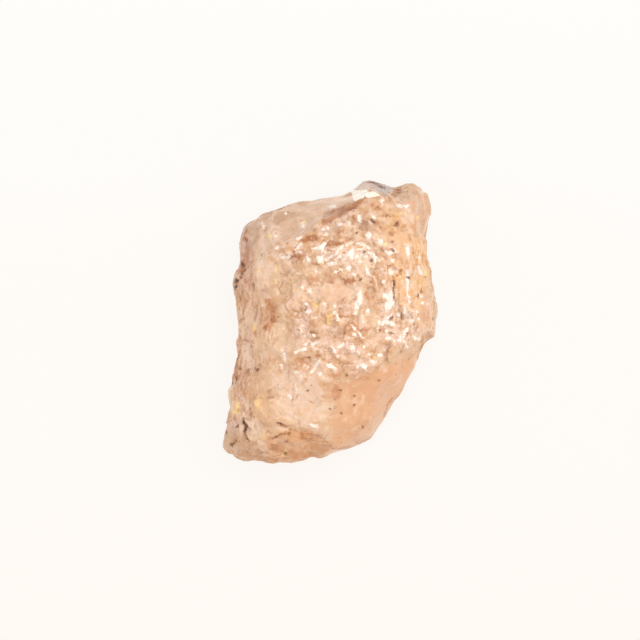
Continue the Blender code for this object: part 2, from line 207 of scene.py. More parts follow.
# The marks of the upper side. An oval is x, y, width, height and perhaps its turn in degrees, a
# face is its corners, and a line is its nodes and its width
# Small bright faces: painted highlights, which press_flecks also levels to send a lamp's light up where
# the skin faces up
FLECKS = {"ovals": [
    (349, 268.5, 5.5, 6), (367, 271, 4, 9, 15), (392, 261, 5, 4), (357, 256.5, 5, 3.4, 30),
    (335, 255, 12, 2.4, 38), (330.5, 257.5, 10, 2.4, 38), (338.5, 258, 7, 2.4, 38),
    (326.5, 260, 6, 2.4, 38), (407, 251, 4.5, 12), (390, 273, 4, 6), (383, 282, 4, 4),
    (419, 258, 2.5, 6), (418, 268, 3, 6, 20), (420.5, 273, 3, 5, 30), (398, 314, 5, 5),
    (388, 338, 6, 3.5), (415.5, 312, 3, 4), (418, 319, 3, 4), (427, 304, 3, 2.5), (316, 272, 3, 6.5),
    (336, 272, 5, 3), (354, 275, 4.5, 3, -20), (303, 288, 3, 4, 20), (310, 291, 3, 7),
    (306, 304, 5.5, 3.5), (307.5, 311.5, 7, 4.5, -20), (335, 306, 3.2, 3.5), (325, 305, 3, 4),
    (367.5, 311, 3.5, 5), (316, 318, 3, 2.5), (354, 334, 4, 3.5), (300, 331, 4, 5, -30),
    (305, 336, 3.5, 3), (314.5, 336, 3, 3), (302.5, 326, 2.5, 3), (306.5, 344, 4, 4),
    (314, 344, 3.5, 7, -40), (340.5, 345.5, 7, 4, 25), (347.5, 345, 2.2, 4.5, 15),
    (352.5, 347, 4, 6, 20), (364, 347, 3, 4, 30), (303.5, 349, 7, 3.5, -15), (358, 352.5, 3.5, 5, 20),
    (369.5, 354, 3, 3), (373, 361.5, 7, 3.5), (381, 355.5, 5, 4), (358, 366.5, 4.5, 3),
    (284.5, 355, 3, 10, 12), (282, 365.5, 3, 5), (297, 371.5, 6, 2.4, -10), (301.5, 375.5, 3, 3),
    (315.5, 367, 5, 2.4, -25), (320, 373.5, 2.6, 5, 15), (297, 390, 3, 6, 10), (290, 396, 3, 7, 20),
    (313, 425, 10, 3.6, -5), (299, 253, 6, 2.5, 15), (283.5, 257.5, 4.5, 3.2), (288, 257, 4, 4),
    (277, 248, 5, 3.2, 20), (300, 238.5, 6, 2, 20), (309, 259, 3, 7, 5), (305, 261, 3, 4),
    (321, 262, 6, 2.5), (323, 229.5, 4, 3.5), (328, 228.5, 3, 4), (326, 234.5, 4, 3),
    (341, 225, 3, 4.5, -20), (349, 225, 2.5, 5), (359.5, 219, 4, 7), (373, 218, 3, 6, 35),
    (371, 223.5, 3, 2.2), (399.5, 206, 7, 3, -10), (406, 207, 5, 3.5), (368.5, 236, 5, 7.5, 30),
    (380, 242.5, 4.5, 5.5, 30), (350.5, 244, 5, 2.6, 30), (332, 207, 8, 3), (286, 214, 2.5, 2.6),
    (263.5, 226, 3, 6), (276, 236.5, 4, 3), (381.5, 202, 3, 6), (345, 259, 5, 2.4, 20),
    (357, 244, 4, 2.4, 20), (341, 248.5, 9, 2.4, 38), (347.5, 245, 8, 2.4, 30),
    (420.5, 296, 3.5, 4.5, 20), (422, 303, 3, 3), (410.5, 321, 3, 5), (419, 339, 4, 4),
    (386.5, 331, 3, 3.5), (415, 338, 3, 4), (393, 341, 3, 3), (325, 252, 2.6, 6),
    (358.5, 250, 6, 2.0, 8), (363.5, 252, 7, 2.2, -22), (369, 253.5, 8, 2.4, -32),
    (373.5, 257, 8, 2.4, -40), (366, 256.5, 5, 1.9, -38), (361, 254.5, 4, 1.8, -20),
    (361, 245, 9, 2.4, -30), (367, 247.5, 8, 2.4, -35), (360, 262, 5, 2), (340.5, 270, 4, 2),
], "faces": [
    [(312, 249), (318, 246.5), (324, 243.5), (329, 239.5), (327, 244), (324.5, 247.5), (325, 252.5),
     (321, 254.5), (320, 251), (313.5, 250.5)],
    [(317.5, 256), (321, 255), (324, 256.5), (323.5, 261), (319.5, 262.5), (317.5, 259.5)],
    [(327.5, 264), (331, 261.5), (334, 262.5), (338, 261.5), (335.5, 265), (330.5, 267), (328, 266.5)],
    [(348, 251), (351, 249), (355, 249.5), (353, 252), (355, 255), (352.5, 257.5), (353.5, 260.5),
     (350, 260), (347.5, 256.5), (345, 257.5)],
    [(371, 259), (375, 259), (377, 262), (375, 264), (372.5, 262)],
    [(384, 250.5), (389, 251.5), (394, 249), (396.5, 251), (393, 254.5), (388, 255.5), (384.5, 253.5)],
    [(381.5, 292), (386, 294), (391, 290), (393, 297), (395, 303), (391, 306), (388, 309), (384, 312),
     (385.5, 306), (386, 301), (382.5, 297)],
    [(384, 313), (387, 316), (391.5, 312), (389, 318), (391, 322), (387, 325), (379, 325),
     (378, 321.5), (383, 318)],
    [(391, 321), (396, 325), (393, 327), (389, 323)],
    [(403.5, 306), (409.5, 316), (407.5, 319), (402, 317)],
    [(359, 289), (362, 297), (361, 303), (358, 309), (354.5, 310), (355, 303), (357, 296)],
    [(352, 314), (355, 311), (358, 311), (356, 316)],
    [(400, 332), (401, 342), (395, 341.5), (398, 337)],
    [(361, 368), (360.5, 364.5), (363.5, 362), (367, 366), (365, 369)],
    [(325.5, 363), (331, 362.8), (334, 366), (337.5, 368), (335, 369.8), (331, 367.2), (327, 366.8)],
], "lines": [
    ([(407, 272), (406.5, 283), (407, 293), (408.5, 298)], 2.6),
    ([(408.5, 301), (409.5, 307), (411.5, 311)], 3.0), ([(406.5, 329), (402, 337)], 2.6),
    ([(402, 341), (407, 347)], 2.4), ([(378, 321), (377, 327), (378, 332)], 1.8),
    ([(334.5, 311.5), (338.5, 319)], 3.0), ([(361.5, 314), (363.5, 322)], 1.6),
    ([(351, 325), (355.5, 330)], 2.4), ([(357.5, 332), (363, 338)], 2.2),
    ([(295, 353), (300, 349.5)], 2.6), ([(332, 345), (334, 350), (338, 356)], 2.8),
    ([(312, 372), (315, 366), (319, 361)], 2.8), ([(301, 244), (296.5, 249)], 2.6),
    ([(302, 224), (304, 228)], 2.0), ([(372, 254), (379, 260)], 2.0),
]}
# Pinkish white veils, a few tenths of a millimetre under the skin
VEILS = {"ovals": [
    (346, 256, 56, 15, -4), (350, 268, 14, 12), (338, 220, 34, 8, 25), (388, 300, 13, 24),
    (386, 319, 20, 12), (398, 336, 24, 16), (412, 332, 14, 12), (306, 308, 12, 14),
    (302, 333, 18, 24), (316, 345, 30, 10, 10), (340, 346, 22, 9), (353, 350, 16, 12, -30),
    (318, 369, 15, 20), (363, 366, 20, 9), (372, 372, 26, 6), (296, 374, 20, 10, -25),
    (300, 402, 18, 6), (288, 400, 10, 26), (314, 390, 9, 32), (334, 291, 26, 14, 20),
    (345, 309, 16, 12), (299, 248, 12, 11, 40), (286, 257, 16, 8), (277, 250, 14, 8, 20),
    (266, 276, 5, 30), (407, 285, 6, 36), (407, 251, 8, 16), (431, 331, 14, 6), (262, 240, 4, 26),
    (275, 233, 10, 14), (302, 225, 7, 9), (357, 302, 10, 28), (369, 236, 10, 12),
    (382, 244, 12, 9, -20), (391, 252, 16, 10), (325, 231, 12, 9), (345, 224, 16, 6, 10),
    (360, 219, 8, 12), (372, 219, 7, 12), (400, 206, 16, 6), (418, 270, 8, 14, 15),
    (335, 335, 20, 10), (328, 328, 8, 14), (309, 290, 9, 12), (284, 356, 6, 16), (282, 384, 9, 14),
    (296, 392, 8, 12), (250, 358, 8, 20, 20), (243, 246, 8, 6), (312, 425, 16, 6), (366, 273, 10, 12),
    (388, 272, 12, 8), (256, 424, 10, 10), (232, 430, 12, 14),
], "lines": [
    ([(260, 282), (263, 262), (272, 251), (285, 245.5), (299, 238.5)], 5.0),
    ([(300, 284), (296, 296), (290, 306)], 4.0), ([(283, 306), (281, 318)], 3.0),
]}
# Thin pale ridges, arcs and streaks: painted highlights on ridge crests and along the outline, and pale
# streaks in the stone
PALE = {"faces": [
    [(288, 368.5), (294.5, 370), (302, 370), (303, 375), (298.5, 378), (293.5, 375.5), (289.5, 371.5)],
    [(313, 364), (318, 366), (322, 371), (323, 377), (318, 378), (316, 373), (311, 371.5), (311, 367)],
], "lines": [
    ([(368, 200), (370, 210), (372, 218)], 1.6), ([(372, 227), (380, 232), (392, 239)], 2.0),
    ([(382, 200), (382, 206)], 3.0), ([(374, 278), (378, 290), (379, 299)], 1.8),
    ([(348, 284), (351, 291), (349, 299)], 2.2), ([(278, 247), (285, 243), (300, 238)], 1.8),
    ([(387, 197), (390, 193), (391.5, 190)], 1.8), ([(325, 247), (332, 250), (340, 247)], 2.4),
    ([(277, 400), (279, 410)], 4.0), ([(262, 230), (264, 250)], 3.0), ([(259, 262), (258, 276)], 3.0),
    ([(292, 318), (297, 325)], 2.6), ([(262, 300), (265, 306)], 2.6), ([(248, 352), (243, 366)], 4.0),
    ([(312, 385), (316, 378), (318, 395)], 5.0), ([(296, 402), (304, 402)], 4.0),
    ([(363, 396), (363, 401)], 2.4), ([(245, 316), (252, 300)], 1.8), ([(430, 330), (421, 334)], 5.0),
    ([(356, 246), (368, 242)], 3.0), ([(372, 246), (378, 252)], 3.0),
    ([(336, 221.5), (350, 214)], 2.6), ([(318, 444), (330, 448)], 1.6),
    ([(300, 284), (298, 292)], 2.4), ([(320, 285), (322, 292)], 3.0), ([(298, 300), (294, 306)], 2.4),
    ([(259, 312), (257, 320), (255, 327)], 2.6), ([(249, 302), (247, 311)], 2.0),
    ([(241, 304), (242, 318)], 1.6), ([(244, 350), (242, 360)], 3.0), ([(276, 266), (276, 272)], 2.0),
    ([(222, 446), (228, 452), (240, 457), (256, 460)], 2.2), ([(277, 428), (285, 429)], 3.0),
    ([(280, 440), (288, 444)], 3.0), ([(238, 322), (239, 350)], 1.8), ([(235, 300), (236, 318)], 1.8),
    ([(226, 410), (228, 395)], 1.8), ([(282, 386), (281, 400)], 2.6), ([(276, 404), (279, 416)], 3.0),
    ([(286, 398), (292, 410)], 2.2), ([(298, 384), (299, 398)], 3.4), ([(310, 396), (312, 410)], 3.0),
    ([(270, 372), (274, 366)], 2.0), ([(253, 424), (256, 422)], 2.6), ([(238, 397), (239, 396)], 3.0),
    ([(243, 414), (246, 416)], 2.6), ([(268, 280), (268, 286)], 2.4), ([(231, 426), (234, 426)], 2.6),
    ([(252, 438), (256, 439)], 2.4),
]}
# Warm brown faces: painted shade on faces turned away from the light, and rust stain underneath
BROWN = {"ovals": [
    (314, 333, 8, 5), (391, 234, 6, 7), (318, 355, 5, 7), (268.5, 301, 5, 4, 20), (274, 319, 8, 8),
    (271, 309, 6, 9), (386, 216.5, 6, 2.4, -10), (343, 301, 4, 2, 20), (266, 326, 5, 10, -20),
    (292.5, 429.5, 6, 3), (395, 226, 4, 3), (302, 221, 4, 2), (406, 333.5, 4, 3), (417, 327, 3, 6),
], "faces": [
    # The wedge under the top edge: painted shade of a face turned away from the light
    [(321, 223), (323, 215.5), (327.5, 212), (338, 208.5), (350, 204), (360, 200.5), (372, 196.5),
     (362, 203), (353, 210), (344, 216), (336, 220), (330, 223), (323.5, 226)],
    [(322, 247), (326, 243), (329, 240), (333, 241), (335, 244), (331, 249), (330, 252), (325, 251)],
    [(301, 240), (307, 236), (315, 235), (320, 239), (313, 242), (303, 243)],
    [(292, 256.5), (298, 255.5), (307, 255.5), (303, 258), (296, 259)],
    [(310, 263), (315, 262.5), (320, 264), (316, 266.5)],
    [(341, 279), (355, 278.5), (355, 282), (350, 284), (344, 284)],
    [(391, 190.5), (401, 188.5), (400, 196), (391, 196.5)],
    [(301, 431), (307, 430), (305, 434), (303, 440), (300, 437)],
    [(311, 432), (318, 436), (313, 438), (309, 436)],
], "lines": [
    ([(332, 244), (340, 244.5), (347, 242.5), (351, 239)], 3.0), ([(291, 451), (298, 459)], 4.0),
    ([(339, 258), (344, 253.5), (347, 255)], 1.8), ([(277, 422), (284, 425), (292, 429)], 2.2),
    ([(253, 284), (254, 290)], 3.0), ([(252, 352), (254.5, 357)], 1.8),
    ([(392, 265), (394, 269)], 1.6), ([(400, 270), (396.5, 276)], 1.8),
    ([(381, 248), (383, 251)], 1.8), ([(412, 248), (412.5, 254)], 1.6),
    ([(244, 234), (247, 230)], 1.6), ([(279, 209.5), (284, 206.5), (290, 205)], 1.4),
    ([(301, 432), (304, 437), (308, 439.5), (313, 438.5), (318, 435)], 2.6),
    ([(293, 429), (302, 431.5)], 1.8), ([(306, 433), (311, 435)], 1.8),
    ([(332, 448.5), (340, 448), (350, 446.5)], 1.8), ([(318, 434), (328, 443), (332, 447)], 1.2),
    ([(270, 438), (277, 436), (282, 433), (290, 435)], 1.8),
    ([(384, 416), (388, 404), (392, 398)], 1.6), ([(252, 262), (251, 276)], 1.8),
    ([(247, 300), (246, 316)], 1.6), ([(257, 306), (256, 322)], 2.0), ([(262, 308), (261, 322)], 1.6),
    ([(240, 330), (240, 352)], 1.4), ([(245, 340), (254, 342)], 2.4), ([(238, 356), (236, 372)], 1.8),
    ([(243, 286), (241, 298)], 2.2), ([(250, 408), (251, 418)], 2.0), ([(268, 431), (272, 433)], 2.0),
    ([(275, 443), (278, 446)], 2.4), ([(239, 398), (236, 396)], 2.0),
]}
# Softer tan places
TAN = {"ovals": [
    (342, 233, 18, 9), (354, 219, 7, 11), (383, 227, 10, 13), (366.5, 297, 8, 22, 10),
    (376, 277, 5, 16, 20), (423, 315, 9, 24), (355, 328, 36, 9, -8), (362, 341, 20, 7),
    (302, 360, 22, 12), (336, 374, 18, 10, 20), (270, 315, 15, 36, -8), (253, 301, 9, 26),
    (257, 240, 6, 36), (305, 240, 22, 8, 15), (372, 247, 12, 4), (376, 207, 20, 12),
    (350, 281, 16, 6), (299, 259, 18, 8), (311, 281, 11, 12), (304, 320, 11, 12), (313, 344, 16, 10),
    (384, 330, 14, 8), (247, 378, 12, 16), (336, 392, 12, 20), (311, 437, 24, 12), (358, 441, 14, 8),
    (341, 316, 22, 10), (243, 300, 8, 24), (296, 335, 8, 16), (364, 378, 30, 6), (400, 232, 14, 10),
    (395, 218, 24, 6, -15),
]}
# Dark pits and cracks, filled with iron stain
DARK = {"ovals": [
    (246.5, 240, 3, 3.6), (242.8, 264.5, 3.4, 6.4, 10), (245, 269.8, 3.2, 4.6, -15),
    (242.6, 273, 2, 3), (241.4, 277.4, 2.6, 2.6), (236.8, 281, 3.8, 4.8), (236, 286.6, 3, 5),
    (262, 255, 2, 2), (397.5, 224, 4.8, 3.6, 20), (356, 233.5, 2, 2), (392, 243, 2, 2),
    (371, 261, 1.8, 2.6), (360, 280, 2.4, 3), (407.5, 278, 2.2, 2), (421, 291, 1.8, 3, -20),
    (418, 295.5, 1.4, 2), (433, 319, 1.4, 2), (325.5, 320, 1.5, 2.8), (340, 309, 2.6, 1.2),
    (332, 283, 1.6, 1.4), (306, 307, 2, 1.2), (317.5, 338, 2.8, 1.8), (379, 330, 2, 2),
    (390, 333, 2.6, 1.4), (309, 357, 2.2, 1.8), (346.5, 374, 2, 1.8), (340, 390, 2.6, 1.5),
    (354.5, 395.5, 1.4, 1.4), (354, 405, 1.4, 1.5), (341, 413, 1.4, 1.5), (330, 408.5, 1.7, 1.2),
    (334.5, 407, 1.6, 1.2), (363, 427, 1.8, 2), (307.5, 390, 1.8, 2), (378.5, 380, 2.2, 1.2),
    (241, 368, 1.6, 2.6), (247.5, 371, 2.2, 3), (256.5, 369, 2.4, 2.2), (251.5, 346.5, 2, 1.8),
    (237, 379, 1.8, 5, -10), (232.5, 382, 2, 5.5), (238, 426, 2.4, 2.4), (232, 444.5, 3.4, 3),
    (226, 432, 1.8, 4), (265.5, 459.5, 2.2, 1.6), (285.5, 453.5, 2.8, 2.6), (287, 441, 2, 1.5),
    (290, 433, 1.8, 1.8), (299.5, 331, 1.2, 2.2), (278, 317, 1.8, 1.6), (304.5, 310, 1.6, 1.6),
    (364, 252, 2.2, 1.5), (386, 216.5, 3, 1.2, -10),
], "lines": [
    ([(244, 419.5), (245, 423), (247, 426), (245, 430.5)], 2.9),
    ([(244.5, 431), (246, 435), (249, 441)], 1.1), ([(247, 424), (251, 429)], 1.2),
    ([(393.6, 282), (393, 290), (393, 299)], 1.7), ([(392, 317), (388.5, 320)], 1.2),
    ([(371, 220.5), (374, 223.5)], 1.8), ([(391, 249.5), (393, 252)], 1.2),
    ([(368, 181.8), (373, 182.3)], 2.0), ([(375, 183.5), (380, 186), (384.5, 188)], 2.4),
    ([(233, 444), (237, 441)], 1.4), ([(273, 437.5), (281, 434), (289, 432.5)], 0.9),
    ([(278, 422), (284, 424.5)], 1.0), ([(343, 254), (345, 253)], 1.0),
]}
# Yellow iron films on small faces
GOLD = {"ovals": [
    (270, 237, 3.4, 5.6, 10), (328.5, 320, 3.4, 8, 5), (330.5, 315, 3, 3), (316.5, 306, 3, 6.5, 30),
    (238.7, 406, 2.6, 9, 12), (235.6, 411, 3.2, 5), (255, 328.5, 2.4, 4), (276.8, 281.5, 1.8, 3.4),
    (276.5, 270, 1.8, 5), (293, 281, 2, 4, 20), (296.5, 291, 2.6, 2.6), (376, 357.5, 4.4, 1.8, 30),
    (417, 218, 3, 2.6), (425, 273.5, 1.6, 4.5), (401, 214, 4, 2, 10), (385, 244.5, 4, 2.6, -20),
    (304, 222, 3, 2.4), (259, 270, 2, 5), (258.5, 404, 2, 6),
], "lines": [
    ([(283, 456), (286, 450)], 1.6),
]}
# The pale face at the top edge, a painted highlight of a lit facet, and the bump there, pale on the left
# and grey on the right
WHITE_FACE = {"faces": [
    [(350.5, 191.5), (352.5, 190), (360, 190.5), (366, 190), (372, 192), (378, 195), (382, 197.5),
     (372, 196.5), (365, 198), (360, 200.5), (355, 202.5), (353, 200), (352, 194)],
]}
GREY_BUMP = {"faces": [
    [(367, 176), (381, 180), (392, 185), (394, 190), (389, 195), (385, 197), (379, 194), (373, 190),
     (371, 185)],
]}
PALE_BUMP = {"faces": [
    [(350, 191), (354, 184), (361, 177), (368, 176), (373, 184), (375, 191), (384, 198), (378, 195),
     (372, 192), (366, 190), (358, 190)],
]}
# The face of the foot, that leans away from the light; its darker orange washes are painted shade
FOOT_FACE = {"faces": [
    [(266, 437), (278, 432), (291, 428), (300, 429), (310, 430.5), (318, 434), (325, 440),
     (332, 447.5), (322, 457), (308, 457), (298, 463), (268, 463)],
]}
# Fairly smooth, calm faces inside the broken middle
CALM = {"ovals": [
    (398, 248, 30, 40), (425, 318, 16, 44), (400, 293, 9, 22), (419, 206, 26, 52),
], "faces": [
    [(318, 298), (328, 284), (335, 281), (345, 281), (349, 286), (350, 293), (347, 299), (338, 301),
     (328, 301)],
]}
# The attribute of the mesh that each group of marks goes into
MARKS = {
    "brown": BROWN, "fleck": FLECKS, "dark": DARK, "gold": GOLD, "pale": PALE, "veil": VEILS,
    "foot": FOOT_FACE, "white_face": WHITE_FACE, "grey_bump": GREY_BUMP, "pale_bump": PALE_BUMP,
    "calm": CALM,
}
# Soft zones of the upper side, for the attribute of the mesh: x, y, width, height, strength, and
# perhaps a turn
ZONES = {
    "milk": [
        (285, 262, 60, 34, 0.5, 20), (312, 395, 70, 80, 0.35, 20), (246, 330, 20, 120, 0.35),
        (337, 291, 38, 24, 0.4), (417, 205, 26, 50, 0.35, 10), (345, 308, 20, 14, 0.4),
    ],
    "ochre": [
        (410, 268, 50, 130, 0.95), (372, 430, 40, 40, 0.28), (308, 437, 30, 16, 0.45),
        (412, 205, 40, 44, 0.4), (398, 228, 50, 44, 0.7), (404, 246, 30, 40, 0.8),
        (262, 408, 30, 46, 0.4), (236, 409, 14, 20, 0.9), (258, 405, 12, 22, 0.8), (284, 434, 22, 9, 0.9),
        (280, 437, 60, 26, 0.5), (300, 405, 90, 50, 0.3, 20), (385, 205, 44, 20, 0.35),
        (318, 452, 40, 14, 0.4),
    ],
    "cream": [
        (305, 395, 64, 74, 0.85, 20), (282, 372, 36, 40, 0.5), (345, 290, 46, 30, 0.85),
        (280, 348, 44, 40, 0.4), (412, 210, 36, 40, 0.8), (318, 380, 40, 30, 0.4),
        (278, 262, 40, 30, 0.45, 20), (345, 352, 70, 24, 0.4), (352, 258, 70, 26, 0.45, -8),
        (380, 250, 40, 30, 0.4), (350, 410, 40, 50, 0.3, 20), (262, 275, 16, 60, 0.35),
        (300, 258, 30, 16, 0.4, 15),
    ],
    "mauve": [
        (246, 262, 24, 80, 0.8, 5), (240, 372, 22, 110, 0.7, 8), (236, 432, 34, 56, 0.45, 10),
        (256, 345, 40, 90, 0.3), (262, 236, 12, 44, 0.3, -8), (266, 445, 60, 20, 0.4, 10),
        (375, 397, 34, 44, 0.25), (300, 278, 20, 30, 0.2),
    ],
    "tan": [
        (366, 430, 46, 44, 0.6), (309, 437, 30, 16, 0.9), (233, 422, 16, 26, 0.6),
        (253, 414, 18, 14, 0.55),
    ],
    "streaks": [
        (256, 300, 44, 150, 1.0, 4), (244, 380, 30, 80, 0.8, 10), (285, 390, 40, 70, 0.6, 12),
        (268, 250, 30, 60, 0.6, -15),
    ],
    "shards": [
        (348, 256, 62, 26, 0.65, -8), (376, 262, 40, 26, 0.45, -30), (388, 308, 22, 60, 0.8),
        (399, 334, 34, 26, 0.7), (310, 322, 34, 66, 0.55), (345, 350, 96, 30, 0.6, -5),
        (300, 372, 44, 34, 0.45), (409, 288, 16, 84, 0.45), (330, 230, 40, 18, 0.4, 20),
        (292, 252, 44, 16, 0.4, 15), (360, 362, 60, 26, 0.55), (414, 316, 20, 50, 0.5),
        (358, 303, 16, 40, 0.4), (345, 300, 120, 110, 0.14), (398, 258, 40, 40, 0.35),
        (258, 290, 30, 90, 0.2), (300, 398, 60, 50, 0.3),
    ],
}
# Clouds of the underside: size, seed, from and to which noise they fade in, and strength
UNDER_CLOUDS = {
    "milk": (4.0 * MM, 23, 0.0, 0.6, 0.3),
    "ochre": (3.2 * MM, 24, 0.15, 0.6, 0.3),
    "mauve": (3.6 * MM, 25, 0.1, 0.6, 0.3),
    "tan": (2.6 * MM, 26, 0.2, 0.6, 0.6),
    "shards": (4.0 * MM, 23, -0.2, 0.5, 0.3),
}


def soft_zone(spots, wobble, x, y, wide, high, strength, turn=0.0):
    """A zone that is full in its middle and fades, with a wandering rim."""
    share = oval_depth(spots, x, y, wide, high, turn) / (min(wide, high) / 2.0)
    return strength * ramp(share + wobble, 0.0, 0.5)


def split_cells(points, size, seed):
    """Which small block of the broken skin each point is in, and the blocks' middles."""
    chance = np.random.default_rng(seed)
    low = points.min(0) - size
    counts = np.ceil((points.max(0) + size - low) / size).astype(int)
    grid = np.stack(np.meshgrid(*[np.arange(n) for n in counts], indexing="ij"), -1).reshape(-1, 3)
    middles = low + (grid + chance.uniform(0.05, 0.95, grid.shape)) * size
    tree = kdtree.KDTree(len(middles))
    for index, middle in enumerate(middles):
        tree.insert(middle, index)
    tree.balance()
    owner = np.array([tree.find(point)[1] for point in points])
    return owner, middles, chance


def block_relief(points, size, lean, lift, seed):
    """Height of small blocks with flat, leaning tops, in metres, and a tone for each, partly random and
    partly painted shade by how its top leans.
    """
    owner, middles, chance = split_cells(points, size, seed)
    leans = chance.normal(0.0, lean, middles.shape)
    lifts = chance.uniform(-lift, lift, len(middles))
    # Painted shade: a top that leans towards +Y, the top of the picture, gets a lighter tone
    shade = chance.normal(0.0, 1.0, len(middles)) + 1.4 * leans[:, 1] / lean
    height = ((points - middles[owner]) * leans[owner]).sum(1) + lifts[owner]
    return np.stack([height, shade[owner] / 1.7])


def ledges(run, length, height, tone, share, rise=0.85):
    """Height and tone of ledges along run, that climb slowly over the rise and drop at once; the tone,
    lighter up each climb and darker after the drop, is painted shade.
    """
    part = run / length % 1.0
    climb = np.where(part < rise, part / rise, (1.0 - part) / (1.0 - rise))
    return np.stack([height * climb * share, tone * (climb - 0.5) * share])


def above_ridge(spots):
    """How far each spot is above the rim of the milky face."""
    return np.interp(spots[:, 0], RIDGE_X, RIDGE_Y) - spots[:, 1]


def smooth_break(spots, sway):
    """1 on the large smooth break at the lower right of the upper side."""
    x, y = spots[:, 0], spots[:, 1]
    below = ramp(y - np.interp(x, BREAK_X, BREAK_Y) + sway, 0.0, 16.0)
    return below * ramp(x + sway, *BREAK_LEFT)


def roughness_map(normals, spots, sway, smooth):
    """How broken the skin is: 1 where it sparkles, near 0 on the smooth breaks."""
    milky = ramp(above_ridge(spots) + 0.4 * sway, -1.0, 5.0)
    milky *= fade(spots[:, 0], RIDGE_X[-1] - 10.0, RIDGE_X[-1])
    calm = ramp(depths(spots, CALM), -1.0, 3.0) * ramp(normals[:, 2], 0.0, 0.35)
    upper = ramp(normals[:, 2], -0.5, 0.0)
    return np.clip(1.0 - 0.92 * upper * milky - 0.9 * upper * smooth - 0.75 * calm, 0.0, 1.0)


def relief(points, normals, spots, rough):
    """Height of the fine breaks above the solid, in metres, and their tones, partly random and partly
    painted shade of the blocks and ledges.
    """
    x, y, up = spots[:, 0], spots[:, 1], normals[:, 2]
    upper = ramp(up, 0.2, 0.6)
    middle = 1.0 - np.hypot((x - SPARKLE_X) / SPARKLE_WIDE, (y - SPARKLE_Y) / SPARKLE_HIGH)
    sparkle = (0.45 + 0.5 * ramp(middle, 0.0, 0.45) * upper) * (0.12 + 0.88 * rough)

    # Blocks of three sizes, of which the small ones lie in rings around the middle of the shell
    heart = place(SHELL_X, SHELL_Y)
    away = np.hypot(points[:, 0] - heart[0], points[:, 1] - heart[1])
    around = np.arctan2(points[:, 1] - heart[1], points[:, 0] - heart[0])
    shell = np.stack([away * SHELL_SQUEEZE, around * SHELL_RADIUS, points[:, 2]], 1)
    shell = shell + 0.12 * MM * noisy(points, 0.8 * MM, 5)[:, None]
    large = block_relief(points, *LARGE_BLOCKS)
    small = block_relief(shell, *SMALL_BLOCKS)
    fine = block_relief(points, *FINE_BLOCKS)
    height = sparkle * (large[0] + small[0] + 0.4 * fine[0])
    height += 0.018 * MM * noisy(points, 0.9 * MM, 2, 3) * (0.3 + 0.7 * rough)
    # The blocks' tone is partly random and partly painted shade of their leaning tops
    tone = sparkle * (0.5 * large[1] + 0.6 * small[1] + 0.6 * fine[1]) + 0.1 * large[1]
    both = np.stack([height, tone])

    # Rings of the shell-shaped break around its middle
    away = away + noisy(points, 3.0 * MM, 7) * 0.9 * MM + noisy(points, 0.8 * MM, 8) * 0.18 * MM
    reach = fade(away, *SHELL_END) * upper * ramp(noisy(points, 1.6 * MM, 9), -0.3, 0.3)
    both += ledges(away, *RINGS, reach)

    # Ledges that run with the length of the crystal on the right flank
    flank = ramp(x, *RIGHT_FLANK_SIDE) * ramp(y, *RIGHT_FLANK_TOP) * fade(y, *RIGHT_FLANK_FOOT)
    flank *= ramp(up, -0.5, 0.1)
    turn = np.arctan2(points[:, 2] - FLANK_Z, points[:, 0] - FLANK_X) * FLANK_RADIUS
    turn = turn + 0.25 * MM * noisy(points * (1.0, 0.3, 1.0), 0.9 * MM, 14)
    both += ledges(turn, *RIGHT_LEDGES, flank)

    # Long shallow steps on the left flank
    flank = fade(x, *LEFT_FLANK_SIDE) * ramp(y, *LEFT_FLANK_TOP) * ramp(up, -0.5, 0.1)
    run = points[:, 0] * 0.9 + points[:, 2] * 0.5
    run = run + 0.22 * MM * noisy(points * (1.0, 0.25, 1.0), 0.8 * MM, 15)
    both += ledges(run, *LEFT_LEDGES, flank, rise=0.65)

    # Steep skin has lower relief, so that the outline stays even
    return both[0] * (0.3 + 0.7 * ramp(np.abs(up), 0.05, 0.5)), both[1]


def lamp_halves():
    """The slopes that send a lamp's light straight up to the camera."""
    slopes = []
    for off, bearing, _ in LAMPS:
        fall = math.tan(math.radians(off / 2.0))
        turn = math.radians(bearing)
        slopes.append((fall * math.cos(turn), fall * math.sin(turn)))
    return slopes


def press_flecks(points, normals, spots, ragged):
    """Level each bright fleck into a small flat face that sends one lamp's light up."""
    halves = lamp_halves()
    up = normals[:, 2] > 0.25
    marks = [oval_depth(spots, *oval) for oval in FLECKS["ovals"]]
    marks += [face_depth(spots, corners) for corners in FLECKS["faces"]]
    for depth in marks:
        depth = depth + 0.6 * ragged
        inside = (depth > -0.4) & up
        if inside.sum() < 4 or normals[inside, 2].mean() < 0.55:
            continue
        spot = points[inside]
        normal = normals[inside].mean(0)
        lean = normal[:2] / normal[2]
        fall = min(halves, key=lambda half: math.hypot(half[0] - lean[0], half[1] - lean[1]))
        centre = spot.mean(0)
        level = centre[2] - (spot[:, 0] - centre[0]) * fall[0] - (spot[:, 1] - centre[1]) * fall[1]
        change = np.clip(level - spot[:, 2], -PRESS_LIMIT, PRESS_LIMIT)
        points[inside, 2] += change * ramp(depth[inside], -0.4, 0.7)
    return points


